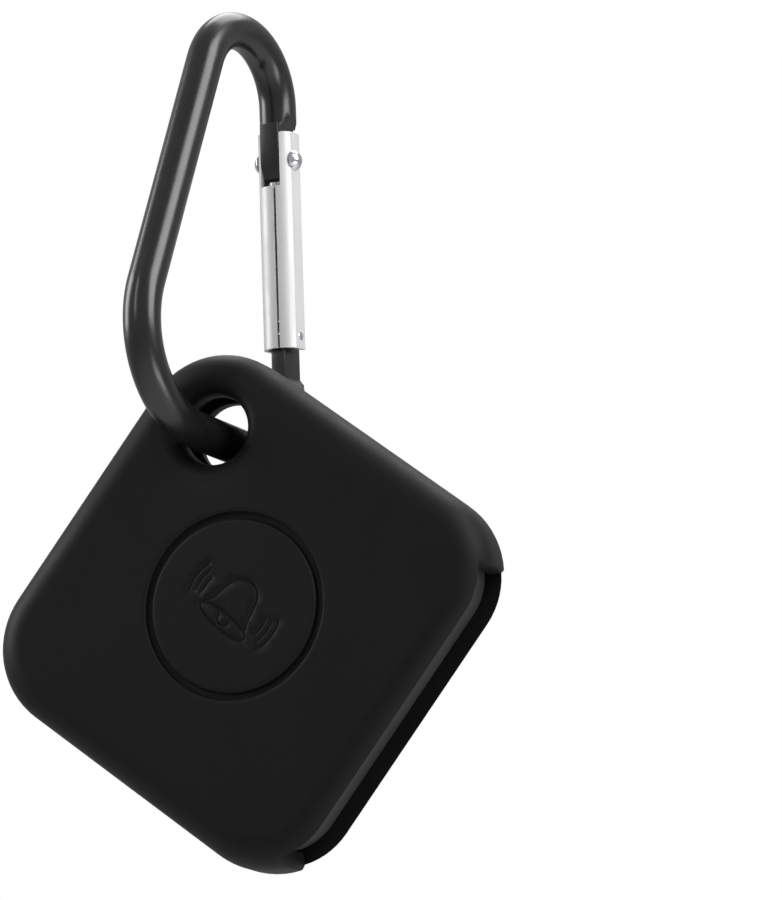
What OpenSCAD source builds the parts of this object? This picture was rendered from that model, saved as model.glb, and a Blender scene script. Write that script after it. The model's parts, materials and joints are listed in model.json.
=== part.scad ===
// Bluetooth tracker tag: a square tracker in a silicone sleeve, hung by its
// corner hole on a small spring-gate carabiner.
//
// Frame: millimetres, +Z up, the sleeve's front face looks along -Y. The origin
// is the hang point, the inside of the carabiner's top bend.

/* [Sleeve] */
// Side of the square silicone sleeve
sleeve_side = 39; // [38.5:0.1:40]
// Thickness of the sleeve, front to back
sleeve_t = 8.4; // [8.4:0.1:8.8]
// Radius of the sleeve's four corners
sleeve_corner_r = 8; // [7.5:0.1:8.5]
// Radius of the rounded edge round both faces
sleeve_edge_r = 3; // [2.6:0.1:3.2]
// Radius of the hole's throat, between the rolled lips
throat_r = 3.25; // [3.2:0.05:3.3]
// Radius of the rolled lip round the hole
lip_roll_r = 1.9; // [1.6:0.1:2]
// How far each silicone collar stays from the middle of the hole's depth
collar_gap = 1.4; // [1.2:0.1:1.8]
// Radius of the soft press pad inside the groove
pad_r = 8.05; // [7.9:0.05:8.1]
// Width of the groove round the press pad
groove_w = 0.65; // [0.5:0.05:0.8]
// Depth of the groove round the press pad
groove_depth = 0.45; // [0.3:0.05:0.5]
// Depth of the engraved bell
engrave_depth = 0.2; // [0.1:0.05:0.3]

/* [Tracker] */
// Side of the square tracker
tracker_side = 35; // [34.9:0.1:35]
// Thickness of the tracker
tracker_t = 6.2; // [6.2:0.1:6.2]
// Radius of the tracker's corners
tracker_corner_r = 6; // [5.8:0.1:6.2]
// Distance from the tracker's middle to its corner hole
hole_offset = 17; // [16.8:0.1:17.2]
// Diameter of the coin cell
cell_d = 16; // [15.8:0.1:16]
// Thickness of the circuit board
board_t = 0.5; // [0.4:0.1:0.5]
// Radius of the tracker's button
button_r = 6.5; // [6:0.1:6.5]
// Travel of the press pad, the button and the switch
press_travel = 0.3; // [0.2:0.05:0.3]

/* [Carabiner] */
// Diameter of the carabiner's rod
rod_d = 3.5; // [3.4:0.05:3.5]
// Radius of the top bend, on the rod's centreline
top_r = 6.4; // [6.2:0.1:6.8]
// Angle between the spine and the gate
spine_lean = 25.3; // [24:0.1:26.5]
// Length of the straight spine
spine_len = 24.9; // [24:0.1:26]
// Radius of the bend at the bottom of the spine
heel_r = 9.1; // [8.5:0.1:9.5]
// Slope of the straight foot, down towards the gate
foot_slope = 6.5; // [5:0.5:8]
// Radius of the bend below the gate
toe_r = 6; // [5.5:0.1:6.5]
// Radius of the rolled sheet gate
gate_r = 1.95; // [1.9:0.05:2]
// Thickness of the gate's sheet
gate_wall = 0.42; // [0.35:0.01:0.45]
// Half the distance across the flats pressed in the gate's sides
gate_flat = 1.8; // [1.75:0.01:1.85]
// Turn of the carabiner about the vertical
loop_yaw = 12; // [10:0.5:14]
// Lean of the carabiner to the right
loop_lean = 8; // [6:0.5:9]
// Lean of the carabiner to the front
loop_pitch = 1; // [0:0.5:2]

/* [Hidden] */

$fn = 64;
SLACK = 0.05;       // play between two pieces that slide or slip together
FIT = 0.02;         // gap that only keeps two seated faces apart
ROOT = 0.3;         // how deep a shape is rooted in the one it stands on
OVER = 1;           // how far a cutting shape runs past the face it opens
SILICONE = "#202022";
PLASTIC = "#2a2b2e";
STEEL = "#c9ccd0";
ANODISED = "#161618";

// The sleeve and the pocket inside it
face_z = sleeve_t / 2;
pocket_half = tracker_side / 2 + 0.1;
pocket_z = tracker_t / 2 + SLACK;
pad_gap = 0.05;
pad_skirt_z = face_z - groove_depth;
pad_under_z = pocket_z + press_travel + SLACK;
pad_boss_r = button_r - 0.5;
collar_r = throat_r + 0.65;
bell_line_w = 0.32;
bell_dome_r = 1.75;
bell_skirt_h = 2.2;
bell_rim_half = 2.5;
bell_clapper_r = 1;
bell_lift = 0.4;
bell_turn = -4;
wave_first_r = 3.45;
wave_pitch = 0.65;
wave_half_angle = 11;
lip_centre = [throat_r + lip_roll_r, face_z - lip_roll_r];

// The tracker's shells
shell_wall = 1;
shell_z = tracker_t / 2;
inner_half = tracker_side / 2 - shell_wall;
inner_corner_r = tracker_corner_r - shell_wall;
inner_z = shell_z - shell_wall;
shell_edge_r = 1.2;
tracker_hole_r = collar_r + 0.1;
hole_boss_r = tracker_hole_r + 0.95;
seal_w = 0.3;
seal_h = 0.5;
seal_side = tracker_side - shell_wall;
seal_corner_r = inner_corner_r + 0.5;

// The stack from the button down to the battery door
button_flange_r = button_r + 0.8;
button_top_z = shell_z - FIT;
button_foot_r = 0.9;
flange_top_z = inner_z + 0.3;
flange_bottom_z = inner_z - FIT;
board_top_z = 1.65;
board_bottom_z = board_top_z - board_t;
board_side = 32.4;
switch_side = 3.2;
switch_h = 0.35;
stem_r = 0.7;
stem_top_z = board_top_z + switch_h + 0.25;
stem_h = 0.27;
cell_r = cell_d / 2;
cell_top_z = 0.85;
cell_bottom_z = cell_top_z - 3.2;
cell_cap_h = 0.4;
door_r = 9.5;
door_inner_z = cell_bottom_z - 0.07;
door_neck_r = cell_r + 0.3;
ledge_top_z = -1.6;
ledge_hole_r = door_neck_r + 0.1;
door_tab_r = 8.95;
door_tab_h = 0.35;
door_tab_half_angle = 12;
door_way_turn = 36;
door_slot = [9, 1.3, 0.35];
door_boss_r = 10.6;
cup_r = 9.2;
cup_wall = 0.7;
cup_top_z = 0.5;
cup_gap = [3.4, 2, 1.6];
door_seal_r = 9;
door_seal_wire_r = 0.18;
door_seal_way = [0.22, 0.4];
leaf_t = 0.15;
leaf_w = 2.6;

// Places on the board, in the tracker's own square
buzzer_pos = [11.6, -11.6];
buzzer_r = 4.25;
buzzer_h = 3;
buzzer_wall = 0.55;
buzzer_lid = 0.4;
buzzer_seat_z = 2;
buzzer_port_r = 0.8;
buzzer_floor = 0.3;
can_pos = [10.8, 10.8];
can_size = [7, 6.6, 1.4];
can_wall = 0.2;
antenna_pos = [-11.5, -13.8];
crystal_pos = [4.2, 13.6];
support_pos = [[14.4, 0], [0, -14.4], [-14.4, -3]];
chip_ring_r = 10.6;

// The carabiner's centreline: p runs to the gate, q runs up along the gate, and
// the zero of both is where the top bend leaves the gate's line
function unit(a) = [cos(a), sin(a)];
function tangent(a) = [-sin(a), cos(a)];
rod_r = rod_d / 2;
run_reach = 0.4;
run_step = 0.02;
spine_a = 180 - spine_lean;
foot_a = 270 - foot_slope;
top_c = [-top_r, 0];
spine_top = top_c + top_r * unit(spine_a);
spine_bottom = spine_top + spine_len * tangent(spine_a);
heel_c = spine_bottom - heel_r * unit(spine_a);
foot_start = heel_c + heel_r * unit(foot_a);
foot_len = (toe_r * cos(foot_a) - toe_r - foot_start[0]) / tangent(foot_a)[0];
foot_end = foot_start + foot_len * tangent(foot_a);
toe_c = foot_end - toe_r * unit(foot_a);
toe_end = toe_c + [toe_r, 0];

// The hinge, the gate and the nose, as heights q on the gate's line
pivot = [-0.15, -5.2];
gate_top = -2.5;
gate_bottom = -23.3;
gate_corner_r = 0.6;
notch_bottom = -7.7;
notch_half = 1.05;
seam_half = 0.12;
latch_cut_top = -20.1;
latch_cut_p = 0.95;
latch_pos = [0.1, -22.1];
pin_r = 0.45;
rivet_r = 0.75;
rivet_head_r = 1;
rivet_head_h = 0.7;
tongue_half = 1;
tongue_out = 1.05;
tongue_hub_r = 1.2;
tongue_facet = [[-1.75, -5.1], [-1.15, -6.95], [0.5, -6.3]];
shoulder_q = [-1, -1.9];
blade_half = 0.75;
blade_p = [-1.25, 1.4];
blade_top = -20.7;
blade_notch_half = 0.6;
neck_q = [-27.1, -26.1];
plunger_top = -7.25;
plunger_r = 1.2;
plunger_head_h = 1.1;
plunger_stem_r = 0.5;
plunger_stem_h = 1.6;
seat_top = -16;
seat_h = 0.6;
spring_wire_r = 0.13;
spring_r = 0.95;
spring_turns = 9;

// Where the carabiner and the sleeve sit in the part's frame
hang_local = [0, -top_r, top_r - rod_r];
rod_below_hole = 0.75;
function rot_x(v, a) = [v[0], v[1] * cos(a) - v[2] * sin(a), v[1] * sin(a) + v[2] * cos(a)];
function rot_y(v, a) = [v[0] * cos(a) + v[2] * sin(a), v[1], v[2] * cos(a) - v[0] * sin(a)];
function rot_z(v, a) = [v[0] * cos(a) - v[1] * sin(a), v[0] * sin(a) + v[1] * cos(a), v[2]];
function loop_to_row(v) = rot_z(rot_y(rot_x(v - hang_local, loop_pitch), loop_lean), -loop_yaw);
// The point of the foot that carries the sleeve, and the middle of the sleeve
seat_along_foot = 5.4;
foot_seat = foot_start + seat_along_foot * tangent(foot_a);
seat_row = loop_to_row([0, foot_seat[0], foot_seat[1]]);
case_centre = seat_row + [0, 0, rod_below_hole - hole_offset];
hole_xy = hole_offset * [-sqrt(0.5), sqrt(0.5)];

// Puts the carabiner's flat frame (p, q, across) into the part's frame
module place_loop() {
    rotate([loop_pitch, loop_lean, -loop_yaw]) translate(-hang_local) rotate([90, 0, 90]) children();
}

// Puts the tracker's flat frame (square in x and y, front along z) into place,
// standing on one corner with the hole's corner up
module place_case() {
    translate(case_centre) rotate([90, 0, 0]) rotate([0, 0, -45]) children();
}

// ---- Shared shapes

module rounded_square(side, r) {
    square([side, side - 2 * r], center = true);
    square([side - 2 * r, side], center = true);
    for (x = [-1, 1], y = [-1, 1]) translate([x, y] * (side / 2 - r)) circle(r);
}

// A plate with round corners whose edges are rounded on both faces
module soft_plate(side, t, corner_r, edge_r) {
    for (turn = [0, 90]) rotate([0, 0, turn]) rotate([90, 0, 0])
        linear_extrude(height = side - 2 * corner_r, center = true) soft_section(side / 2, t, edge_r);
    for (turn = [0:90:270]) rotate([0, 0, turn]) translate([1, 1, 0] * (side / 2 - corner_r))
        rotate_extrude(angle = 90) intersection() {
            soft_section(corner_r, t, edge_r);
            translate([0, -t]) square([corner_r + OVER, 2 * t]);
        }
}

// The cross-section of that plate, reaching the same distance to both sides
module soft_section(reach, t, edge_r) {
    square([2 * reach, t - 2 * edge_r], center = true);
    square([2 * (reach - edge_r), t], center = true);
    for (x = [-1, 1], y = [-1, 1]) translate([x * (reach - edge_r), y * (t / 2 - edge_r)]) circle(edge_r);
}

module tube(r_out, r_in, z0, z1) {
    translate([0, 0, z0]) difference() {
        cylinder(h = z1 - z0, r = r_out);
        translate([0, 0, -OVER]) cylinder(h = z1 - z0 + 2 * OVER, r = r_in);
    }
}

module disc(r, z0, z1) {
    translate([0, 0, z0]) cylinder(h = z1 - z0, r = r);
}

// A block standing on z0, centred on pos
module block(pos, size, z0) {
    translate([pos[0] - size[0] / 2, pos[1] - size[1] / 2, z0]) cube(size);
}

module at_hole() {
    translate(hole_xy) children();
}

// ---- Silicone sleeve

module sleeve() {
    color(SILICONE) place_case() difference() {
        union() {
            difference() {
                soft_plate(sleeve_side, sleeve_t, sleeve_corner_r, sleeve_edge_r);
                tracker_pocket();
            }
            at_hole() for (side = [0, 1]) mirror([0, 0, side])
                disc(collar_r, collar_gap, pocket_z + ROOT);
        }
        at_hole() hole_cut();
        disc(pad_r + pad_gap, 0, face_z + OVER);
        disc(pad_r + groove_w, pad_skirt_z, face_z + OVER);
    }
}

// The pocket for the tracker, open right through the lower right side
module tracker_pocket() {
    linear_extrude(height = 2 * pocket_z, center = true) {
        rounded_square(2 * pocket_half, tracker_corner_r);
        translate([0, -pocket_half]) square([sleeve_side, 2 * pocket_half]);
    }
}

// The hole's throat and the rolled lip on both faces
module hole_cut() {
    disc(throat_r, -sleeve_t, sleeve_t);
    for (side = [0, 1]) mirror([0, 0, side]) rotate_extrude() difference() {
        translate([0, lip_centre[1]]) square([lip_centre[0], lip_roll_r + OVER]);
        translate(lip_centre) circle(lip_roll_r);
        translate([lip_centre[0] - lip_roll_r / 4, face_z]) square([lip_roll_r, 2 * OVER]);
    }
}

// The part of the sleeve's front that gives under a finger, with its bell
module press_pad() {
    color(SILICONE) place_case() difference() {
        union() {
            disc(pad_r, pad_under_z, face_z);
            disc(pad_boss_r, pocket_z, pad_under_z);
        }
        translate([0, 0, face_z - engrave_depth]) linear_extrude(height = engrave_depth + OVER) bell_mark();
    }
}

// A tilted bell with three sound waves on each side, as engraved lines
module bell_mark() {
    rotate([0, 0, bell_turn]) translate([0, bell_lift]) {
        difference() {
            bell_outline(0);
            bell_outline(bell_line_w);
        }
        translate([0, -bell_skirt_h]) difference() {
            circle(bell_clapper_r);
            circle(bell_clapper_r - bell_line_w);
            translate([-2 * bell_clapper_r, 0]) square([4, 2] * bell_clapper_r);
        }
    }
    for (side = [0, 180]) rotate([0, 0, side + bell_turn]) for (wave = [0:2])
        wave_arc(wave_first_r + wave_pitch * wave, wave_half_angle + 3 * wave, bell_line_w);
}

// The bell's outline: a dome on a flared skirt, drawn inward by a margin
module bell_outline(margin) {
    dome = bell_dome_r - margin;
    rim = bell_rim_half - 1.5 * margin;
    circle(dome);
    polygon([[-dome, 0], [dome, 0], [rim, margin - bell_skirt_h], [-rim, margin - bell_skirt_h]]);
}

module wave_arc(r, half_angle, w) {
    difference() {
        circle(r + w / 2);
        circle(r - w / 2);
        for (side = [0, 1]) mirror([0, side]) rotate([0, 0, half_angle]) translate([-2 * r, 0])
            square([4 * r, 4 * r]);
        translate([-2 * r, -2 * r]) square([2 * r, 4 * r]);
    }
}

// ---- Tracker

module shell_half(front) {
    intersection() {
        soft_plate(tracker_side, tracker_t, tracker_corner_r, shell_edge_r);
        translate([-tracker_side, -tracker_side, front ? 0 : -tracker_t])
            cube([2 * tracker_side, 2 * tracker_side, tracker_t]);
    }
}

module shell_cavity() {
    difference() {
        linear_extrude(height = 2 * inner_z, center = true) rounded_square(2 * inner_half, inner_corner_r);
        at_hole() disc(hole_boss_r, -tracker_t, tracker_t);
    }
}

module seal_ring(grow) {
    difference() {
        linear_extrude(height = seal_h + grow, center = true)
            rounded_square(seal_side + seal_w + grow, seal_corner_r);
        linear_extrude(height = seal_h + grow + OVER, center = true)
            rounded_square(seal_side - seal_w - grow, seal_corner_r - seal_w);
    }
}

module tracker_front_shell() {
    color(PLASTIC) place_case() difference() {
        shell_half(true);
        shell_cavity();
        seal_ring(FIT);
        at_hole() disc(tracker_hole_r, -tracker_t, tracker_t);
        disc(button_r + 2 * SLACK, 0, tracker_t);
        disc(button_flange_r + 2 * SLACK, 0, flange_top_z + FIT);
    }
}

module tracker_rear_shell() {
    color(PLASTIC) place_case() difference() {
        union() {
            difference() {
                shell_half(false);
                shell_cavity();
            }
            disc(door_boss_r, -inner_z - ROOT, ledge_top_z);
            tube(cup_r + cup_wall, cup_r, ledge_top_z - ROOT, cup_top_z);
            for (pos = support_pos) translate(pos) disc(1, -inner_z - ROOT, board_bottom_z);
        }
        seal_ring(FIT);
        at_hole() disc(tracker_hole_r, -tracker_t, tracker_t);
        disc(ledge_hole_r, -tracker_t, ledge_top_z + OVER);
        disc(door_r + 2 * SLACK, -tracker_t, door_inner_z + FIT);
        tube(door_seal_r + door_seal_way[0], door_seal_r - door_seal_way[0], door_inner_z,
            door_inner_z + door_seal_way[1]);
        door_tab_shapes(door_tab_r + 2 * SLACK, door_way_turn, door_tab_half_angle + 4, -tracker_t,
            ledge_top_z + OVER);
        block([0, -cup_r - cup_wall / 2], [cup_gap[0], cup_gap[1], cup_gap[2] + OVER], cup_top_z - cup_gap[2]);
    }
}

module shell_seal() {
    color("#3a3b3f") place_case() seal_ring(0);
}

// The three bayonet tabs of the battery door, as sectors of a disc
module door_tab_shapes(r, turn, half_angle, z0, z1) {
    for (third = [0:120:240]) rotate([0, 0, third + turn]) translate([0, 0, z0])
        linear_extrude(height = z1 - z0)
            polygon([[0, 0], for (a = [-half_angle:half_angle / 4:half_angle]) r * unit(a)]);
}

module battery_door() {
    color(PLASTIC) place_case() difference() {
        union() {
            disc(door_r, -shell_z, door_inner_z);
            disc(door_neck_r, door_inner_z - ROOT, ledge_top_z + SLACK + door_tab_h);
            door_tab_shapes(door_tab_r, 0, door_tab_half_angle, ledge_top_z + SLACK,
                ledge_top_z + SLACK + door_tab_h);
        }
        disc(cell_r + SLACK, door_inner_z, OVER);
        block([0, 0], [door_slot[0], door_slot[1], OVER], door_slot[2] - shell_z - OVER);
    }
}

module door_seal() {
    color("#3a3b3f") place_case() translate([0, 0, door_inner_z + door_seal_wire_r + FIT])
        rotate_extrude() translate([door_seal_r, 0]) circle(door_seal_wire_r, $fn = 24);
}

module coin_cell() {
    color(STEEL) place_case() {
        disc(cell_r, cell_bottom_z, cell_top_z - cell_cap_h);
        disc(cell_r - 1, cell_top_z - cell_cap_h, cell_top_z);
    }
}

module tracker_button() {
    color(PLASTIC) place_case() {
        disc(button_r, flange_top_z, button_top_z);
        tube(button_flange_r, button_r - 1, flange_bottom_z, flange_top_z);
        disc(button_foot_r, stem_top_z + SLACK, flange_top_z);
    }
}

// ---- Board and what is soldered to it

module main_board() {
    color("#14532d") place_case() translate([0, 0, board_bottom_z]) linear_extrude(height = board_t) difference() {
        rounded_square(board_side, inner_corner_r - 0.3);
        at_hole() circle(hole_boss_r + 0.3);
    }
}

module switch_body() {
    color("#d8d8d4") place_case() difference() {
        block([0, 0], [switch_side, switch_side, switch_h], board_top_z);
        disc(stem_r + 2 * SLACK, 0, tracker_t);
    }
}

module switch_stem() {
    color("#8b1a1a") place_case() disc(stem_r, stem_top_z - stem_h, stem_top_z);
}

module positive_contact() {
    color("#d9b45b") place_case() {
        block([0, -cell_r - 0.25], [leaf_w, 0.2, board_bottom_z + 1], -1);
        block([0, -cell_r - 0.8], [leaf_w, 1, leaf_t], board_bottom_z - leaf_t);
    }
}

module negative_contact() {
    color("#d9b45b") place_case() {
        block([0, 0], [9, 3, leaf_t], board_bottom_z - leaf_t);
        for (x = [-3, 3]) translate([x, 0]) disc(0.7, cell_top_z + FIT / 2, board_bottom_z - leaf_t);
    }
}

module bluetooth_chip() {
    color("#1b1b1b") place_case() block(can_pos, [4, 4, 0.8], board_bottom_z - 0.8);
}

module shield_can() {
    color("#b8bcc2") place_case() difference() {
        block(can_pos, can_size, board_bottom_z - can_size[2]);
        block(can_pos, can_size - [2, 2, 1] * can_wall, board_bottom_z - can_size[2] + can_wall);
    }
}

module crystal() {
    color("#c9b27a") place_case() block(crystal_pos, [2, 1.6, 0.5], board_bottom_z - 0.5);
}

module chip_antenna() {
    color("#e8e6dd") place_case() block(antenna_pos, [5, 2, 1], board_bottom_z - 1);
}

// Resistors and capacitors on the front of the board, round the button
module board_chips() {
    color("#5b4a36") place_case() for (a = [-60:24:60]) rotate([0, 0, a])
        block([chip_ring_r, 0], [0.6, 1.1, 0.35], board_top_z);
}

// ---- Buzzer

module buzzer_frame() {
    place_case() translate([buzzer_pos[0], buzzer_pos[1], board_bottom_z]) mirror([0, 0, 1]) children();
}

module buzzer_housing() {
    color("#101012") buzzer_frame() difference() {
        disc(buzzer_r, 0, buzzer_h);
        disc(buzzer_r - buzzer_wall - buzzer_lid, buzzer_floor, buzzer_seat_z);
        disc(buzzer_r - buzzer_wall, buzzer_seat_z, buzzer_h - buzzer_lid);
        disc(buzzer_port_r, -OVER, buzzer_h + OVER);
    }
}

module buzzer_diaphragm() {
    color(STEEL) buzzer_frame() disc(buzzer_r - buzzer_wall - SLACK, buzzer_seat_z, buzzer_seat_z + 0.1);
}

module buzzer_coil() {
    color("#b4562a") buzzer_frame() tube(2.1, 0.9, buzzer_floor, buzzer_floor + 1.2);
}

module buzzer_magnet() {
    color("#4a4c50") buzzer_frame() tube(3.1, 2.4, buzzer_floor, buzzer_floor + 1.1);
}

// ---- Carabiner, in its flat frame: x is p, y is q, z is across the loop

// A bend of the rod from angle a0 to a1 about the centre c
module bend(c, r, a0, a1) {
    translate([c[0], c[1], 0]) rotate([0, 0, a0]) rotate_extrude(angle = a1 - a0, $fn = 128)
        translate([r, 0]) circle(rod_r);
}

// A straight run of the rod from a to b. It reaches a little way into the bends
// at its ends, and is a hair thinner than they are, so the two always join.
module run(a, b, end_a = run_reach, end_b = run_reach) {
    d = b - a;
    translate([a[0], a[1], 0]) rotate([0, 0, atan2(d[1], d[0])]) translate([-end_a, 0, 0]) rotate([0, 90, 0])
        cylinder(h = norm(d) + end_a + end_b, r = rod_r - run_step);
}

// A profile drawn in (p, across), drawn out along the gate's line
module along_gate(q0, q1) {
    translate([0, q1, 0]) rotate([90, 0, 0]) linear_extrude(height = q1 - q0) children();
}

// A cylinder across the loop at the point (p, q)
module across(pos, r, half) {
    translate([pos[0], pos[1], -half]) cylinder(h = 2 * half, r = r);
}

// The end of the rod pressed down to a blade: it is round at q_rod, its cheeks
// start at q0 and they reach the blade's faces at q1
module cheeks(q0, q1, blade, q_rod) {
    q_root = q_rod + run_reach * sign(q_rod - q1);
    wide = rod_r + OVER;
    intersection() {
        run([0, q_rod], [0, q1], run_reach, 0);
        rotate([0, -90, 0]) linear_extrude(height = 4 * rod_r, center = true)
            polygon([[-wide, q_root], [-wide, q0], [-blade, q1], [blade, q1], [wide, q0], [wide, q_root]]);
    }
}

module carabiner_body() {
    color(ANODISED) place_loop() difference() {
        union() {
            bend(top_c, top_r, 0, spine_a);
            run(spine_top, spine_bottom);
            bend(heel_c, heel_r, spine_a, foot_a);
            run(foot_start, foot_end);
            bend(toe_c, toe_r, foot_a, 360);
            cheeks(shoulder_q[0], shoulder_q[1], tongue_half, 0);
            cheeks(neck_q[0], neck_q[1], blade_half, toe_end[1]);
            tongue();
            nose_blade();
        }
        across(pivot, rivet_r + SLACK, rod_d);
    }
}

module tongue() {
    linear_extrude(height = 2 * tongue_half, center = true) {
        polygon([[-rod_r, shoulder_q[1]], each tongue_facet, [tongue_out, pivot[1]],
            [tongue_out, shoulder_q[1] + ROOT], [-rod_r, shoulder_q[1] + ROOT]]);
        translate(pivot) circle(tongue_hub_r);
    }
}

// The hooked blade that the gate's pin drops into
module nose_blade() {
    linear_extrude(height = 2 * blade_half, center = true) difference() {
        translate([blade_p[0], neck_q[1] - ROOT])
            square([blade_p[1] - blade_p[0], blade_top - neck_q[1] + ROOT]);
        translate([blade_p[0] - OVER, latch_pos[1] - blade_notch_half])
            square([latch_pos[0] - blade_p[0] + OVER, 2 * blade_notch_half]);
        translate(latch_pos) circle(blade_notch_half);
    }
}

module gate_section(shrink) {
    intersection() {
        circle(gate_r - shrink);
        square([3 * gate_r, 2 * (gate_flat - shrink)], center = true);
    }
}

// The gate's side view, which rounds the corners of its hinge end
module gate_profile() {
    top_c_q = gate_top - gate_corner_r;
    translate([-2 * gate_r, gate_bottom]) square([4 * gate_r, top_c_q - gate_bottom]);
    translate([-gate_r + gate_corner_r, gate_bottom])
        square([2 * (gate_r - gate_corner_r), gate_top - gate_bottom]);
    for (s = [-1, 1]) translate([s * (gate_r - gate_corner_r), top_c_q]) circle(gate_corner_r);
}

module gate() {
    color(STEEL) place_loop() {
        difference() {
            intersection() {
                along_gate(gate_bottom, gate_top) gate_section(0);
                linear_extrude(height = 4 * gate_r, center = true) gate_profile();
            }
            along_gate(gate_bottom - OVER, gate_top + OVER) gate_section(gate_wall);
            translate([-2 * gate_r, notch_bottom, -notch_half])
                cube([2 * gate_r, gate_top - notch_bottom + OVER, 2 * notch_half]);
            translate([-2 * gate_r, gate_bottom - OVER, -seam_half])
                cube([2 * gate_r, notch_bottom - gate_bottom + 2 * OVER, 2 * seam_half]);
            translate([latch_cut_p, gate_bottom - OVER, -2 * gate_r])
                cube([2 * gate_r, latch_cut_top - gate_bottom + OVER, 4 * gate_r]);
            across(pivot, rivet_r, 2 * gate_r);
            across(latch_pos, pin_r, 2 * gate_r);
        }
        along_gate(seat_top - seat_h, seat_top) difference() {
            gate_section(gate_wall - SLACK);
            circle(plunger_stem_r);
            translate([-2 * gate_r, -seam_half]) square([2 * gate_r, 2 * seam_half]);
        }
    }
}

module hinge_rivet() {
    head_ball_r = (pow(rivet_head_r, 2) + pow(rivet_head_h, 2)) / (2 * rivet_head_h);
    color(STEEL) place_loop() {
        across(pivot, rivet_r, gate_flat);
        for (side = [0, 1]) mirror([0, 0, side]) intersection() {
            translate([pivot[0], pivot[1], gate_flat + rivet_head_h - head_ball_r]) sphere(head_ball_r);
            translate([pivot[0], pivot[1], gate_flat]) cylinder(h = rivet_head_h + OVER, r = 2 * rivet_head_r);
        }
    }
}

module latch_pin() {
    color(STEEL) place_loop() across(latch_pos, pin_r, gate_flat);
}

module gate_plunger() {
    color("#b9a06a") place_loop() {
        along_gate(plunger_top - plunger_head_h, plunger_top) circle(plunger_r);
        along_gate(plunger_top - plunger_head_h - plunger_stem_h, plunger_top - plunger_head_h)
            circle(plunger_stem_r);
    }
}

// A helix of round wire with closed ends
module coil(turns, r, wire_r, length) {
    sides = 8;
    per_turn = 16;
    rings = turns * per_turn;
    rise = (length - 2 * wire_r) / rings;
    points = [for (i = [0:rings], j = [0:sides - 1])
        let (a = 360 * i / per_turn, b = 360 * j / sides, reach = r + wire_r * cos(b))
        [reach * cos(a), reach * sin(a), wire_r + rise * i + wire_r * sin(b)]];
    faces = concat([[for (j = [0:sides - 1]) j]], [[for (j = [sides - 1:-1:0]) rings * sides + j]],
        [for (i = [0:rings - 1], j = [0:sides - 1])
            let (k = (j + 1) % sides) [i * sides + j, (i + 1) * sides + j, (i + 1) * sides + k, i * sides + k]]);
    polyhedron(points, faces, convexity = 10);
}

module gate_spring() {
    spring_top = plunger_top - plunger_head_h - FIT;
    spring_bottom = seat_top + FIT;
    color("#a9acb0") place_loop() translate([0, spring_bottom, 0]) rotate([-90, 0, 0])
        coil(spring_turns, spring_r, spring_wire_r, spring_top - spring_bottom);
}

sleeve();
press_pad();
tracker_front_shell();
tracker_rear_shell();
shell_seal();
tracker_button();
battery_door();
door_seal();
coin_cell();
positive_contact();
negative_contact();
main_board();
switch_body();
switch_stem();
bluetooth_chip();
shield_can();
crystal();
chip_antenna();
board_chips();
buzzer_housing();
buzzer_diaphragm();
buzzer_coil();
buzzer_magnet();
carabiner_body();
gate();
hinge_rivet();
latch_pin();
gate_spring();
gate_plunger();
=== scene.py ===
# %% [markdown]
# # A bluetooth tracker tag on a spring-gate carabiner
# The CAD model fixes every size and every joint. This script dresses it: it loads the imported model, builds
# finer meshes for the parts that are seen from close by, and gives every part a procedural finish.

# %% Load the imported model
import json
import math

import bmesh
import bpy
from mathutils import Euler, Matrix, Vector
from mathutils.geometry import delaunay_2d_cdt


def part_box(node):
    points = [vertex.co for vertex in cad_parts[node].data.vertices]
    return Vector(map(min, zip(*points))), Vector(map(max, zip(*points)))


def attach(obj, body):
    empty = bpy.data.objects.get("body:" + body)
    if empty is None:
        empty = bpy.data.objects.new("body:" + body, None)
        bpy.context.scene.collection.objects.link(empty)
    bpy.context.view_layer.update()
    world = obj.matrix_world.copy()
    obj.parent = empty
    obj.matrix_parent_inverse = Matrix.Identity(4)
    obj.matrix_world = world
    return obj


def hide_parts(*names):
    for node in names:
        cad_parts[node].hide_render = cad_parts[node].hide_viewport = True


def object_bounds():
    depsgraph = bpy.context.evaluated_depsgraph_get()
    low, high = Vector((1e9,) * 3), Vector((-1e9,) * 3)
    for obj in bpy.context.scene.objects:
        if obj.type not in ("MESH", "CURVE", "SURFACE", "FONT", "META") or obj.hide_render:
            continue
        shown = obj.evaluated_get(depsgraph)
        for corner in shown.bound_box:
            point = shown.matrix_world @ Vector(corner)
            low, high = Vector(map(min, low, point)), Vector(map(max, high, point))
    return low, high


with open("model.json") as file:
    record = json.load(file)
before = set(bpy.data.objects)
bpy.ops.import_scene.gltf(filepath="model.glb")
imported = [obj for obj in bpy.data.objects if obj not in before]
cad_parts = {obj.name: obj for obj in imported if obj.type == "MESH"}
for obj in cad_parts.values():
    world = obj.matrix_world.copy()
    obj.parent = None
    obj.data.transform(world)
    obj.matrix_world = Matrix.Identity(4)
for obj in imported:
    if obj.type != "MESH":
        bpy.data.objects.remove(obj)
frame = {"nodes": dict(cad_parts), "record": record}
cad_low, cad_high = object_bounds()
print("CAD box, metres:", [round(b - a, 4) for a, b in zip(cad_low, cad_high)])

# %% [markdown]
# ## Camera
# The tag hangs in front of a long lens that looks up at it from the right and a little below, rolled by
# about eight degrees. Depth of field stays off, so every edge is sharp.

# %% Camera
MM = 0.001
front_low, front_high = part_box("tracker_front_shell")
case_centre = Vector(((front_low.x + front_high.x) / 2, front_high.y, (front_low.z + front_high.z) / 2))
camera_offset = Vector((170.9, -463.4, -109.1)) * MM
camera_right = Vector((0.9272, 0.3472, -0.1404))
camera_up = Vector((0.2128, -0.1799, 0.9604))
LENS = 220

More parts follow.
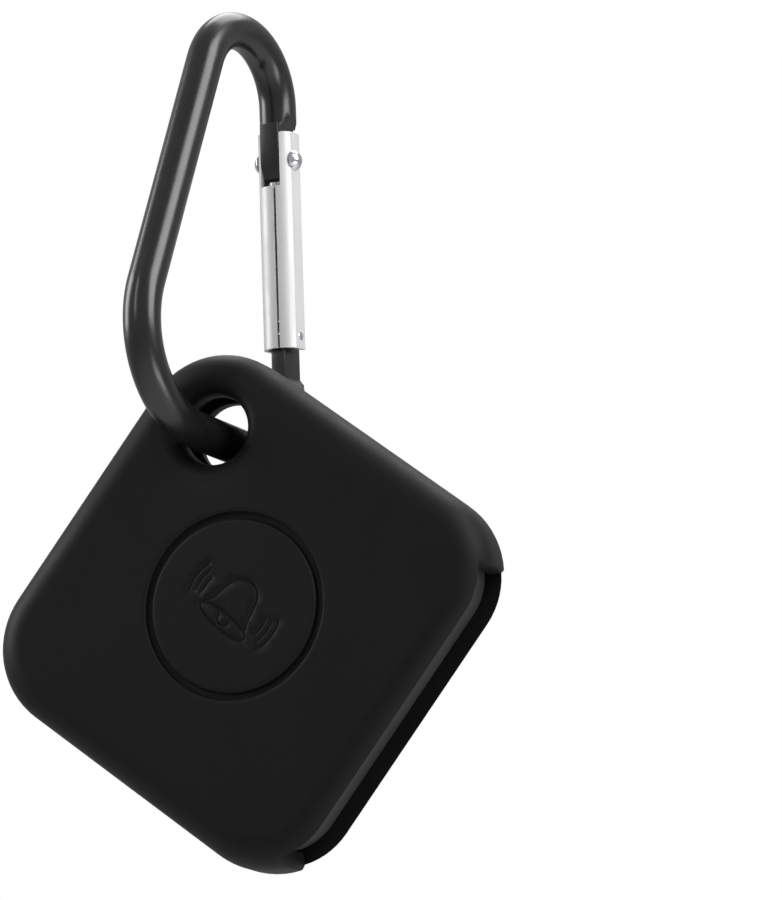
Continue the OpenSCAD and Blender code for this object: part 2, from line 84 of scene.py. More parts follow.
camera = bpy.data.objects.new("camera", bpy.data.cameras.new("camera"))
bpy.context.collection.objects.link(camera)
camera.data.lens = LENS
camera.data.sensor_width = 36
camera.matrix_world = Matrix.Translation(case_centre + camera_offset) @ Matrix(
    (camera_right, camera_up, camera_right.cross(camera_up))).transposed().to_4x4()
bpy.context.scene.camera = camera
print("camera at", [round(c, 4) for c in camera.location])

# %% [markdown]
# ## Studio
# A white tent: a bright even surround, one large soft light from the right, one from the left, one from
# behind the top, and two weak ones from the front and from below on the right. Matte black shows its form
# only where such lights graze its rounded edges. The surround is shown white to the camera and is dimmer as
# a light, which keeps the black parts black.

# %% Lights, surround and floor
studio = bpy.context.scene
studio.view_settings.view_transform = "Standard"
studio.view_settings.look = "None"

tent = bpy.data.worlds.new("tent")
tent.use_nodes = True
studio.world = tent
nodes, links = tent.node_tree.nodes, tent.node_tree.links
nodes.clear()
tent_out = nodes.new("ShaderNodeOutputWorld")
seen_or_lit = nodes.new("ShaderNodeMixShader")
light_path = nodes.new("ShaderNodeLightPath")
TENT_LIGHT = (0.44, 0.445, 0.46, 1)
for socket, colour in ((1, TENT_LIGHT), (2, (1, 1, 1, 1))):
    background = nodes.new("ShaderNodeBackground")
    background.inputs["Color"].default_value = colour
    links.new(background.outputs[0], seen_or_lit.inputs[socket])
links.new(light_path.outputs["Is Camera Ray"], seen_or_lit.inputs[0])
links.new(seen_or_lit.outputs[0], tent_out.inputs["Surface"])


def soft_light(name, offset_mm, width_mm, height_mm, watts):
    """An area light that looks at the middle of the hanging tag."""
    light = bpy.data.objects.new(name, bpy.data.lights.new(name, "AREA"))
    light.data.shape = "RECTANGLE"
    light.data.size, light.data.size_y = width_mm * MM, height_mm * MM
    light.data.energy = watts
    middle = (cad_low + cad_high) / 2
    light.location = middle + Vector(offset_mm) * MM
    light.rotation_euler = (middle - light.location).to_track_quat("-Z", "Y").to_euler()
    bpy.context.collection.objects.link(light)


soft_light("right_softbox", (330, -60, 160), 220, 320, 1.3)
soft_light("left_softbox", (-330, -60, 200), 180, 260, 0.8)
soft_light("top_softbox", (40, 180, 330), 320, 220, 0.75)
soft_light("front_strip", (-120, -420, 260), 60, 300, 0.25)
soft_light("low_fill", (330, -120, -260), 240, 200, 0.6)

floor_mesh = bpy.data.meshes.new("floor")
FLOOR_HALF, FLOOR_Z = 4.0, -0.30
floor_mesh.from_pydata([(x, y, FLOOR_Z) for x, y in ((-FLOOR_HALF, -FLOOR_HALF), (FLOOR_HALF, -FLOOR_HALF),
                        (FLOOR_HALF, FLOOR_HALF), (-FLOOR_HALF, FLOOR_HALF))], [], [(0, 1, 2, 3)])
floor = bpy.data.objects.new("floor", floor_mesh)
bpy.context.collection.objects.link(floor)
print("studio ready")

# %% [markdown]
# ## Effects shared by the finishes
# Real surfaces are never one even colour. Four node groups hold the effects that several finishes share:
# a fine grain, soft smudges from handling, wear along edges (on the silicone a painted highlight), and lines
# left by brushing. Each group puts out a mask or a height, and each material chooses how much of it to use.

# %% Node helpers
def add_node(tree, kind, values=None, **settings):
    node = tree.nodes.new(kind)
    for key, value in settings.items():
        setattr(node, key, value)
    for key, value in (values or {}).items():
        node.inputs[key].default_value = value
    return node


def effect_group(name, inputs, outputs):
    """A shader node group with named float or vector sockets, and its in and out nodes."""
    group = bpy.data.node_groups.new(name, "ShaderNodeTree")
    for label, kind, value in inputs:
        socket = group.interface.new_socket(name=label, in_out="INPUT", socket_type=f"NodeSocket{kind}")
        socket.default_value = value
    for label in outputs:
        group.interface.new_socket(name=label, in_out="OUTPUT", socket_type="NodeSocketFloat")
    return group, add_node(group, "NodeGroupInput"), add_node(group, "NodeGroupOutput")


# %% Fine grain
grain_group, grain_in, grain_out = effect_group(
    "fine_grain", [("Scale", "Float", 6000.0)], ["Height", "Mask"])
place = add_node(grain_group, "ShaderNodeTexCoord")
fine = add_node(grain_group, "ShaderNodeTexNoise", {"Detail": 3.0, "Roughness": 0.6})
cloud = add_node(grain_group, "ShaderNodeTexNoise", {"Detail": 2.0})
slower = add_node(grain_group, "ShaderNodeMath", {1: 0.12}, operation="MULTIPLY")
grain_group.links.new(place.outputs["Object"], fine.inputs["Vector"])
grain_group.links.new(place.outputs["Object"], cloud.inputs["Vector"])
grain_group.links.new(grain_in.outputs["Scale"], fine.inputs["Scale"])
grain_group.links.new(grain_in.outputs["Scale"], slower.inputs[0])
grain_group.links.new(slower.outputs[0], cloud.inputs["Scale"])
grain_group.links.new(fine.outputs["Fac"], grain_out.inputs["Height"])
grain_group.links.new(cloud.outputs["Fac"], grain_out.inputs["Mask"])

# %% Smudges from handling
smudge_group, smudge_in, smudge_out = effect_group("smudges", [("Scale", "Float", 140.0)], ["Mask"])
place = add_node(smudge_group, "ShaderNodeTexCoord")
patches = add_node(smudge_group, "ShaderNodeTexNoise", {"Detail": 5.0, "Roughness": 0.62, "Distortion": 0.6})
contrast = add_node(smudge_group, "ShaderNodeMapRange", {"From Min": 0.38, "From Max": 0.68},
                    interpolation_type="SMOOTHSTEP")
smudge_group.links.new(place.outputs["Object"], patches.inputs["Vector"])
smudge_group.links.new(smudge_in.outputs["Scale"], patches.inputs["Scale"])
smudge_group.links.new(patches.outputs["Fac"], contrast.inputs["Value"])
smudge_group.links.new(contrast.outputs[0], smudge_out.inputs["Mask"])

# %% Wear along edges, and on the silicone a painted highlight: where a rounded normal leaves the true one, broken up by noise
wear_and_highlight_group, wear_and_highlight_in, wear_and_highlight_out = effect_group("edge_wear_and_highlight", [("Width", "Float", 0.0002)], ["Mask"])
place = add_node(wear_and_highlight_group, "ShaderNodeTexCoord")
rounded = add_node(wear_and_highlight_group, "ShaderNodeBevel", samples=4)
true_normal = add_node(wear_and_highlight_group, "ShaderNodeNewGeometry")
alike = add_node(wear_and_highlight_group, "ShaderNodeVectorMath", operation="DOT_PRODUCT")
edge = add_node(wear_and_highlight_group, "ShaderNodeMapRange", {"From Min": 0.995, "From Max": 0.90})
chips = add_node(wear_and_highlight_group, "ShaderNodeTexNoise", {"Scale": 2600.0, "Detail": 4.0})
broken = add_node(wear_and_highlight_group, "ShaderNodeMapRange", {"From Min": 0.35, "From Max": 0.65})
both = add_node(wear_and_highlight_group, "ShaderNodeMath", operation="MULTIPLY")
wear_and_highlight_group.links.new(wear_and_highlight_in.outputs["Width"], rounded.inputs["Radius"])
wear_and_highlight_group.links.new(rounded.outputs[0], alike.inputs[0])
wear_and_highlight_group.links.new(true_normal.outputs["Normal"], alike.inputs[1])
wear_and_highlight_group.links.new(alike.outputs["Value"], edge.inputs["Value"])
wear_and_highlight_group.links.new(place.outputs["Object"], chips.inputs["Vector"])
wear_and_highlight_group.links.new(chips.outputs["Fac"], broken.inputs["Value"])
wear_and_highlight_group.links.new(edge.outputs[0], both.inputs[0])
wear_and_highlight_group.links.new(broken.outputs[0], both.inputs[1])
wear_and_highlight_group.links.new(both.outputs[0], wear_and_highlight_out.inputs["Mask"])

# %% Brushed lines: noise squashed along one direction
brush_group, brush_in, brush_out = effect_group(
    "brushed_lines", [("Scale", "Float", 9000.0), ("Direction", "Vector", (0.0, 0.0, 1.0))],
    ["Height", "Mask"])
place = add_node(brush_group, "ShaderNodeTexCoord")
along = add_node(brush_group, "ShaderNodeVectorMath", operation="DOT_PRODUCT")
shorten = add_node(brush_group, "ShaderNodeMath", {1: 0.985}, operation="MULTIPLY")
part_along = add_node(brush_group, "ShaderNodeVectorMath", operation="SCALE")
squashed = add_node(brush_group, "ShaderNodeVectorMath", operation="SUBTRACT")
streaks = add_node(brush_group, "ShaderNodeTexNoise", {"Detail": 4.0, "Roughness": 0.65})
bands = add_node(brush_group, "ShaderNodeTexNoise", {"Scale": 1300.0, "Detail": 2.0})
brush_group.links.new(place.outputs["Object"], along.inputs[0])
brush_group.links.new(brush_in.outputs["Direction"], along.inputs[1])
brush_group.links.new(along.outputs["Value"], shorten.inputs[0])
brush_group.links.new(brush_in.outputs["Direction"], part_along.inputs[0])
brush_group.links.new(shorten.outputs[0], part_along.inputs["Scale"])
brush_group.links.new(place.outputs["Object"], squashed.inputs[0])
brush_group.links.new(part_along.outputs[0], squashed.inputs[1])
brush_group.links.new(squashed.outputs[0], streaks.inputs["Vector"])
brush_group.links.new(squashed.outputs[0], bands.inputs["Vector"])
brush_group.links.new(brush_in.outputs["Scale"], streaks.inputs["Scale"])
brush_group.links.new(streaks.outputs["Fac"], brush_out.inputs["Height"])
brush_group.links.new(bands.outputs["Fac"], brush_out.inputs["Mask"])
print("effects:", [g.name for g in bpy.data.node_groups])

# %% [markdown]
# ## Finishes
# One recipe makes every finish: a Principled shader whose colour runs between two close tones and turns to
# the edge tone along edges (wear, and on the silicone a painted highlight), whose roughness follows the
# smudges, and whose normal carries the grain. What is even all over the surface, such as metalness, sits on
# the shader's own sockets.

# %% Recipe for a finish
def finish(name, tone, tone_2, wear_and_highlight_colour, roughness, grain_scale, grain_depth, wear_and_highlight_width=0.00015,
           smudge_scale=140.0, brushed=None, shader=None):
    material = bpy.data.materials.new(name)
    material.use_nodes = True
    tree = material.node_tree
    tree.nodes.clear()
    link = tree.links.new
    out = add_node(tree, "ShaderNodeOutputMaterial")
    surface = add_node(tree, "ShaderNodeBsdfPrincipled", shader)
    smudges = add_node(tree, "ShaderNodeGroup", node_tree=smudge_group)
    smudges.inputs["Scale"].default_value = smudge_scale
    wear_and_highlight_mask = add_node(tree, "ShaderNodeGroup", node_tree=wear_and_highlight_group)
    wear_and_highlight_mask.inputs["Width"].default_value = wear_and_highlight_width
    texture = add_node(tree, "ShaderNodeGroup", node_tree=brush_group if brushed else grain_group)
    texture.inputs["Scale"].default_value = grain_scale
    if brushed:
        texture.inputs["Direction"].default_value = brushed
    tones = add_node(tree, "ShaderNodeMix", {6: (*tone, 1), 7: (*tone_2, 1)}, data_type="RGBA")
    # Along edges the colour turns to this tone: wear on most finishes, a painted highlight on the silicone.
    wear_and_highlight_mix = add_node(tree, "ShaderNodeMix", {7: (*wear_and_highlight_colour, 1)}, data_type="RGBA")
    gloss = add_node(tree, "ShaderNodeMapRange", {"To Min": roughness[0], "To Max": roughness[1]})
    bump = add_node(tree, "ShaderNodeBump", {"Distance": grain_depth})
    link(texture.outputs["Mask"], tones.inputs[0])
    link(wear_and_highlight_mask.outputs["Mask"], wear_and_highlight_mix.inputs[0])
    link(tones.outputs[2], wear_and_highlight_mix.inputs[6])
    link(wear_and_highlight_mix.outputs[2], surface.inputs["Base Color"])
    link(smudges.outputs["Mask"], gloss.inputs["Value"])
    link(gloss.outputs[0], surface.inputs["Roughness"])
    link(texture.outputs["Height"], bump.inputs["Height"])
    link(bump.outputs[0], surface.inputs["Normal"])
    link(surface.outputs[0], out.inputs["Surface"])
    return material


def grey(value):
    return (value, value, value)


# %% Finishes, by material slot of the record
loop_turn = Euler((math.radians(1), math.radians(8), math.radians(-12))).to_matrix()
GATE_LINE = tuple(loop_turn @ Vector((0, 0, 1)))
METAL = {"Metallic": 1.0}
finishes = {
    # The silicone's lighter edge tone, grey(0.03), is a painted highlight: light lines along the slot's lips,
    # the hole's collar and the groove.
    "silicone": finish("silicone_black", (0.0026, 0.0026, 0.0027), (0.0036, 0.0036, 0.0038), grey(0.03),
                       (0.5, 0.6), 14000, 0.000004, 0.0001, 90,
                       shader={"Specular IOR Level": 0.17, "Sheen Weight": 0.02, "Sheen Roughness": 0.4}),
    "anodised_black": finish("anodised_black", (0.0045, 0.0045, 0.0048), (0.0065, 0.0065, 0.0068),
                             grey(0.045), (0.22, 0.31), 16000, 0.0000025, 0.0001, 160,
                             shader={"Specular IOR Level": 0.6}),
    "bright_aluminium": finish("gate_sheet", grey(0.56), grey(0.64), grey(0.78), (0.42, 0.52), 11000,
                               0.0000015, 0.00008, 200, GATE_LINE, {"Metallic": 0.3}),
    "bright_steel": finish("bright_steel", (0.62, 0.62, 0.63), (0.72, 0.72, 0.73), grey(0.85), (0.14, 0.26),
                           9000, 0.000002, 0.00008, 300, shader=METAL),
    "tracker_plastic": finish("tracker_plastic", grey(0.018), grey(0.025), grey(0.05), (0.42, 0.55), 9000,
                              0.000008, shader={"Specular IOR Level": 0.3}),
    "seal_rubber": finish("seal_rubber", grey(0.02), grey(0.035), grey(0.06), (0.55, 0.7), 12000, 0.000005),
    "cell_steel": finish("cell_steel", (0.58, 0.58, 0.57), (0.66, 0.66, 0.65), grey(0.8), (0.22, 0.36), 7000,
                         0.000003, shader=METAL),
    "contact_metal": finish("contact_metal", (0.50, 0.48, 0.44), (0.60, 0.57, 0.52), (0.78, 0.75, 0.70),
                            (0.22, 0.36), 9000, 0.000003, shader=METAL),
    "board": finish("board_lacquer", (0.008, 0.065, 0.028), (0.012, 0.095, 0.04), (0.25, 0.22, 0.12),
                    (0.3, 0.42), 5200, 0.00001, shader={"Coat Weight": 0.3}),
    "component": finish("component_epoxy", grey(0.012), grey(0.022), grey(0.06), (0.42, 0.58), 10000,
                        0.000006),
    "ceramic": finish("ceramic", (0.68, 0.66, 0.60), (0.78, 0.76, 0.70), grey(0.85), (0.4, 0.55), 9000,
                      0.000005),
    "copper_wire": finish("copper_wire", (0.58, 0.24, 0.12), (0.70, 0.32, 0.17), (0.85, 0.5, 0.32),
                          (0.25, 0.4), 12000, 0.00001, shader=METAL),
    "magnet": finish("magnet_plating", (0.30, 0.30, 0.31), (0.38, 0.38, 0.39), grey(0.55), (0.3, 0.45), 8000,
                     0.000004, shader=METAL),
}
floor_paint = finish("floor_paint", grey(0.80), grey(0.84), grey(0.84), (0.6, 0.75), 90, 0.0002,
                     smudge_scale=3.0)
floor.data.materials.append(floor_paint)
print("finishes:", ", ".join(sorted(finishes)))

# %% Every CAD part gets its finish
slot_of = {part["node"]: part["material_slot"] for part in frame["record"]["subparts"]}
for node_name, cad_part in frame["nodes"].items():
    finish_of_node = finishes[slot_of[node_name]]
    if cad_part.material_slots:
        for material_slot in cad_part.material_slots:
            material_slot.material = finish_of_node
    else:
        cad_part.data.materials.append(finish_of_node)
print(len(slot_of), "CAD parts finished")

# %% [markdown]
# ## Mesh helpers
# The finer meshes are built in millimetres in the flat frame of the piece, the same frames that the CAD
# source uses, and are then set into place by one matrix. Rings of points are bridged into bands of quads. A
# flat field with holes in it is filled by a Delaunay triangulation whose points follow the rings round it,
# so that shading stays smooth where the field meets a band.

# %% Frames of the tracker and of the carabiner
HALF_TURN = math.sqrt(0.5)
case_frame = Matrix.Translation(case_centre) @ Matrix(
    ((HALF_TURN, HALF_TURN, 0), (0, 0, -1), (-HALF_TURN, HALF_TURN, 0))).to_4x4() @ Matrix.Scale(MM, 4)
TOP_R, ROD_R = 6.4, 1.75
gate_p, gate_q, gate_n = (loop_turn @ Vector(axis) for axis in ((0, 1, 0), (0, 0, 1), (1, 0, 0)))
loop_origin = gate_p * TOP_R - gate_q * (TOP_R - ROD_R)
loop_frame = Matrix.Translation(loop_origin * MM) @ Matrix((gate_p, gate_q, gate_n)).transposed().to_4x4() \
    @ Matrix.Scale(MM, 4)
print("loop frame at", [round(c, 5) for c in loop_frame.translation])


# %% From points and faces to a finished piece
def make_piece(name, points, faces, place, body, slot, replaces, sharp=35, soften=None):
    """A welded, outward-facing piece from points in millimetres in the flat frame `place`. The edges that
    `soften` picks are bevelled by its width."""
    mesh = bpy.data.meshes.new(name)
    shape = bmesh.new()
    corners = [shape.verts.new(p) for p in points]
    for face in faces:
        if len({tuple(round(c, 4) for c in points[k]) for k in face}) > 2:
            shape.faces.new([corners[k] for k in face])
    bmesh.ops.remove_doubles(shape, verts=shape.verts, dist=0.001)
    bmesh.ops.dissolve_degenerate(shape, edges=shape.edges, dist=0.0005)
    bmesh.ops.recalc_face_normals(shape, faces=shape.faces)
    if soften:
        width, pick = soften
        edges = [e for e in shape.edges if len(e.link_faces) == 2 and e.calc_face_angle() > 0.6
                 and all(pick(v.co) for v in e.verts)]
        bmesh.ops.bevel(shape, geom=edges, offset=width, segments=3, profile=0.5, affect="EDGES",
                        clamp_overlap=True)
    open_edges = sum(not e.is_manifold for e in shape.edges)
    print(name, "-", len(shape.faces), "faces,", open_edges, "open edges")
    shape.to_mesh(mesh)
    shape.free()
    piece = bpy.data.objects.new(name, mesh)
    bpy.context.collection.objects.link(piece)
    mesh.transform(place)
    piece.data.materials.append(finishes[slot])
    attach(piece, body)
    if replaces:
        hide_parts(*replaces)
    shade(mesh, sharp)
    return piece


def shade(mesh, sharp):
    """Smooth shading, with edges sharper than `sharp` degrees kept crisp."""
    mesh.polygons.foreach_set("use_smooth", [True] * len(mesh.polygons))
    mesh.set_sharp_from_angle(angle=math.radians(sharp))
    mesh.update()


def settle(piece, sharp):
    """Applies the piece's modifiers to its mesh and shades it again."""
    evaluated = piece.evaluated_get(bpy.context.evaluated_depsgraph_get())
    mesh = bpy.data.meshes.new_from_object(evaluated)
    piece.modifiers.clear()
    piece.data = mesh
    shade(mesh, sharp)


class Skin:
    """Points and faces of one piece, gathered band by band in millimetres."""

    def __init__(self):
        self.points, self.faces = [], []

    def ring(self, points):
        first = len(self.points)
        self.points += [tuple(p) for p in points]
        return list(range(first, len(self.points)))

    def bridge(self, ring_a, ring_b, closed=True, skip=()):
        count = len(ring_a)
        for k in range(count if closed else count - 1):
            if k not in skip:
                m = (k + 1) % count
                self.faces.append((ring_a[k], ring_a[m], ring_b[m], ring_b[k]))

    def bands(self, rings, closed=True, skip=()):
        for ring_a, ring_b in zip(rings, rings[1:]):
            self.bridge(ring_a, ring_b, closed, skip)

    def field(self, loops, inner, height, lines=()):
        """Fills the area between closed flat loops, the first of them outside, at z = height(x, y)."""
        flat, edges = [], []
        for loop in loops:
            first, count = len(flat), len(loop)
            flat += [Vector(p[:2]) for p in loop]
            edges += [(first + k, first + (k + 1) % count) for k in range(count)]
        for line in lines:
            first = len(flat)
            flat += [Vector(p[:2]) for p in line]
            edges += [(first + k, first + k + 1) for k in range(len(line) - 1)]
        flat += [Vector(p[:2]) for p in inner]
        made, _, triangles, *_ = delaunay_2d_cdt(flat, edges, [], 0, 1e-6)
        first = len(self.points)
        self.points += [(p.x, p.y, height(p.x, p.y)) for p in made]
        for triangle in triangles:
            middle = sum((made[k] for k in triangle), Vector((0, 0))) / 3
            if inside(middle, loops):
                self.faces.append(tuple(first + k for k in triangle))


def inside(point, loops):
    """Even-odd test of a flat point against closed loops."""
    odd = False
    for loop in loops:
        for a, b in zip(loop, loop[1:] + loop[:1]):
            if (a[1] > point.y) != (b[1] > point.y) and point.x < a[0] + (point.y - a[1]) * (
                    b[0] - a[0]) / (b[1] - a[1]):
                odd = not odd
    return odd


def circle(centre, radius, count, z=0.0):
    return [(centre[0] + radius * math.cos(2 * math.pi * k / count),
             centre[1] + radius * math.sin(2 * math.pi * k / count), z) for k in range(count)]


print("mesh helpers ready")

# %% [markdown]
# ## Silicone sleeve
# The sleeve is moulded in one soft piece: a square with wide round corners, a 3 mm radius round both faces, a
# slightly crowned face, and a hole at the top corner whose lips roll inward. Its lower right side is open, so
# that the tracker slides in. A subdivided cube would need many support loops round the hole and the groove.
# Here each station of the outline carries a run of points over the rounded edge instead, and the two faces
# are fields that meet those runs. The face is a height field: where the edge's radius and the hole's lip run
# into each other, a smooth minimum blends them, as the mould's polished edges do.

# %% Outline of the sleeve
SLEEVE_HALF, SLEEVE_CORNER, EDGE_R, FACE_Z = 19.5, 8.0, 3.0, 4.2
CORE = SLEEVE_HALF - SLEEVE_CORNER
STRAIGHT_STEPS, CORNER_STEPS = 26, 16
SLOT_END = 7
hole_centre = (-17 * HALF_TURN, 17 * HALF_TURN)
CROWN = 0.2


def sleeve_stations():
    """Base point and outward direction round the outline, anticlockwise from the open side's lower end."""
    stations = []
    for quarter in range(4):
        turn = quarter * math.pi / 2
        cos, sin = math.cos(turn), math.sin(turn)
        for k in range(STRAIGHT_STEPS):
            s = CORE * (2 * k / STRAIGHT_STEPS - 1)
            stations.append(((CORE * cos - s * sin, CORE * sin + s * cos), (cos, sin)))
        for k in range(CORNER_STEPS):
            a = turn + math.pi / 2 * k / CORNER_STEPS
            base = (CORE * (cos - sin), CORE * (sin + cos))
            stations.append((base, (math.cos(a), math.sin(a))))
    return stations


stations = sleeve_stations()


def outline(inset, z=0.0):
    reach = SLEEVE_CORNER - inset
    return [(b[0] + n[0] * reach, b[1] + n[1] * reach, z) for b, n in stations]


def inset_of(x, y):
    """How far a point lies inside the sleeve's outline."""
    qx, qy = abs(x) - CORE, abs(y) - CORE
    return SLEEVE_CORNER - (math.hypot(max(qx, 0), max(qy, 0)) + min(max(qx, qy), 0))


print(len(stations), "stations round the sleeve")

# %% Height of the face
EDGE_Z = FACE_Z - EDGE_R
POCKET_Z = 3.15
THROAT_R, LIP_R = 3.25, 1.9
LIP_CENTRE_R, LIP_CENTRE_Z = THROAT_R + LIP_R, FACE_Z - LIP_R
BLEND = 0.3


def crown(x, y):
    """The slight pillow of the face."""
    return CROWN * max(0, 1 - (x / SLEEVE_HALF) ** 2) * max(0, 1 - (y / SLEEVE_HALF) ** 2)


def crown_share(height):
    """How much of the pillow a point of the rounded edge gets: none from the slot's lip outward."""
    return max(0.0, (height - POCKET_Z) / (FACE_Z - POCKET_Z))


def face_height(x, y):
    inset = min(EDGE_R, max(0.0, inset_of(x, y)))
    edge = EDGE_Z + math.sqrt(EDGE_R ** 2 - (EDGE_R - inset) ** 2)
    from_hole = math.hypot(x - hole_centre[0], y - hole_centre[1])
    if from_hole < LIP_CENTRE_R:
        lip = LIP_CENTRE_Z + math.sqrt(max(0.0, LIP_R ** 2 - (LIP_CENTRE_R - from_hole) ** 2))
    else:
        lip = FACE_Z + 0.45 * (from_hole - LIP_CENTRE_R) ** 2
    near = max(BLEND - abs(edge - lip), 0) / BLEND
    return min(edge, lip) - near ** 2 * BLEND / 4 + crown(x, y) * crown_share(edge)


# %% Points of the two faces
BAND_INSET = 2.0
LIP_BAND_R = 4.15
GROOVE_RING_R = 9.1
HOLE_STEPS, RING_STEPS = 72, 120


def face_points(with_ring):
    """Points inside the face's field: round the edge, round the hole, round the ring, and a grid between."""
    made, cells = [], {}

    def add(points, clear):
        for x, y, *_ in points:
            from_hole = math.hypot(x - hole_centre[0], y - hole_centre[1])
            cell = (math.floor(2 * x), math.floor(2 * y))
            near = [q for i in (-1, 0, 1) for j in (-1, 0, 1)
                    for q in cells.get((cell[0] + i, cell[1] + j), ())]
            if from_hole > LIP_BAND_R + clear and inset_of(x, y) > BAND_INSET + clear and (
                    not with_ring or math.hypot(x, y) > GROOVE_RING_R + clear) and all(
                    math.hypot(x - a, y - b) > clear for a, b in near):
                made.append((x, y))
                cells.setdefault(cell, []).append((x, y))

    for k in range(1, 8):
        add(circle(hole_centre, LIP_BAND_R + 0.25 * k, HOLE_STEPS), 0.12)
    for inset in (2.22, 2.45, 2.7, 3.0, 3.35):
        add(outline(inset), 0.12)
    if with_ring:
        for radius in (9.4, 9.9):
            add(circle((0, 0), radius, RING_STEPS), 0.2)
    spacing = 1.0
    reach = int(SLEEVE_HALF / spacing) + 1
    add([(spacing * (i + 0.5 * (j % 2)), spacing * 0.866 * j) for i in range(-reach, reach)
         for j in range(-reach - 4, reach + 5)], 0.45)
    return made


# %% Sleeve mesh
POCKET_INSET = 1.9
COLLAR_R, COLLAR_Z = 3.9, 1.4
PAD_R, GROOVE_R, GROOVE_Z = 8.05, 8.7, 3.75
LIP_ANGLE = math.asin((POCKET_Z - EDGE_Z) / EDGE_R)
TOP_ANGLE = math.acos(1 - BAND_INSET / EDGE_R)
slot_first = 4 * STRAIGHT_STEPS + 4 * CORNER_STEPS - SLOT_END
slot_last = STRAIGHT_STEPS + SLOT_END
slot_steps = set(range(slot_first, len(stations))) | set(range(slot_last))

sleeve = Skin()
edge_angles = [TOP_ANGLE + (LIP_ANGLE - TOP_ANGLE) * k / 5 for k in range(6)]
edge_angles += [LIP_ANGLE * (1 - k / 5) for k in range(1, 6)]
ring_at = {}
for side in (1, -1):
    rings = []
    for angle in edge_angles:
        inset = EDGE_R * (1 - math.cos(angle))
        height = EDGE_Z + EDGE_R * math.sin(angle)
        rings.append(sleeve.ring([(x, y, side * (height + crown(x, y) * crown_share(height) if rings else
                                                 face_height(x, y))) for x, y, _ in outline(inset)]))
    rings.append(sleeve.ring(outline(0, 0)))
    ring_at[side] = rings
    sleeve.bands(rings[:6])
    sleeve.bands(rings[5:], skip=slot_steps)
    loops = [outline(BAND_INSET), circle(hole_centre, LIP_BAND_R, HOLE_STEPS)]
    if side == 1:
        loops.append(circle((0, 0), GROOVE_RING_R, RING_STEPS))
    sleeve.field(loops, face_points(side == 1), lambda x, y, side=side: side * face_height(x, y))

    # The hole: its lip, its throat, the end of the collar and the collar's outside
    lip_rings = []
    lip_top = math.acos((LIP_CENTRE_R - LIP_BAND_R) / LIP_R)
    for k in range(8):
        angle = lip_top * (1 - k / 7)
        radius = LIP_CENTRE_R - LIP_R * math.cos(angle)
        height = LIP_CENTRE_Z + LIP_R * math.sin(angle)
        share = (1 - k / 7)
        if k == 0:
            points = [(x, y, side * face_height(x, y)) for x, y, _ in circle(hole_centre, radius, HOLE_STEPS)]
        else:
            points = [(x, y, side * (height + crown(x, y) * share))
                      for x, y, _ in circle(hole_centre, radius, HOLE_STEPS)]
        lip_rings.append(sleeve.ring(points))
    for radius, height in ((THROAT_R, COLLAR_Z + 0.1), (THROAT_R + 0.1, COLLAR_Z), (COLLAR_R, COLLAR_Z),
                           (COLLAR_R, POCKET_Z)):
        lip_rings.append(sleeve.ring(circle(hole_centre, radius, HOLE_STEPS, side * height)))
    sleeve.bands(lip_rings)

    # The pocket's flat ceiling, which runs out to the lip along the open side
    inner_ring = outline(POCKET_INSET, side * POCKET_Z)
    lip_ring = outline(EDGE_R * (1 - math.cos(LIP_ANGLE)), side * POCKET_Z)
    pocket_edge = [q if k in slot_steps or k - 1 in slot_steps else p
                   for k, (p, q) in enumerate(zip(inner_ring, lip_ring))]
    pocket_edge.insert(slot_last + 1, inner_ring[slot_last])
    pocket_edge.insert(slot_first + 1, inner_ring[slot_first])
    ceiling_loops = [pocket_edge, circle(hole_centre, COLLAR_R, HOLE_STEPS)]
    if side == 1:
        ceiling_loops.append(circle((0, 0), PAD_R + 0.05, RING_STEPS))
    sleeve.field(ceiling_loops, [], lambda x, y, side=side: side * POCKET_Z)

# The groove round the pad
groove_rings = []
for radius, drop in ((GROOVE_RING_R, 0), (8.92, 0.01), (8.8, 0.05), (8.73, 0.13), (GROOVE_R, 0.24)):
    groove_rings.append(sleeve.ring([(x, y, FACE_Z + crown(x, y) - drop) for x, y, _ in
                                     circle((0, 0), radius, RING_STEPS)]))
for radius, height in ((GROOVE_R, GROOVE_Z + 0.08), (GROOVE_R - 0.08, GROOVE_Z), (PAD_R + 0.09, GROOVE_Z),
                       (PAD_R + 0.05, GROOVE_Z - 0.04), (PAD_R + 0.05, POCKET_Z)):
    groove_rings.append(sleeve.ring(circle((0, 0), radius, RING_STEPS, height)))
sleeve.bands(groove_rings)

# The pocket's wall, and the two ends of the open side
wall = [sleeve.ring(outline(POCKET_INSET, z)) for z in (POCKET_Z, -POCKET_Z)]
sleeve.bridge(*wall, skip=slot_steps)
for k in (slot_first, slot_last):
    sleeve.faces.append(tuple([rings[k] for rings in ring_at[1][5:]] +
                              [rings[k] for rings in reversed(ring_at[-1][5:-1])] + [wall[1][k], wall[0][k]]))
make_piece("silicone_sleeve", sleeve.points, sleeve.faces, case_frame, "tag", "silicone", ["sleeve"], 40,
           (0.12, lambda p: p.x > 10 and inset_of(p.x, p.y) < 0.8))

# %% [markdown]
# ## Press pad with its bell
# Inside the groove the sleeve is a round pad that gives under a finger. A tilted bell and three sound waves
# on each side of it are sunk into the pad by a fraction of a millimetre. They could be painted in with bump,
# but cut lines catch the light properly and stay in the mesh, so each stroke becomes a shallow
# rounded channel: rails of points follow it on both sides, and the triangulation is made to keep them.

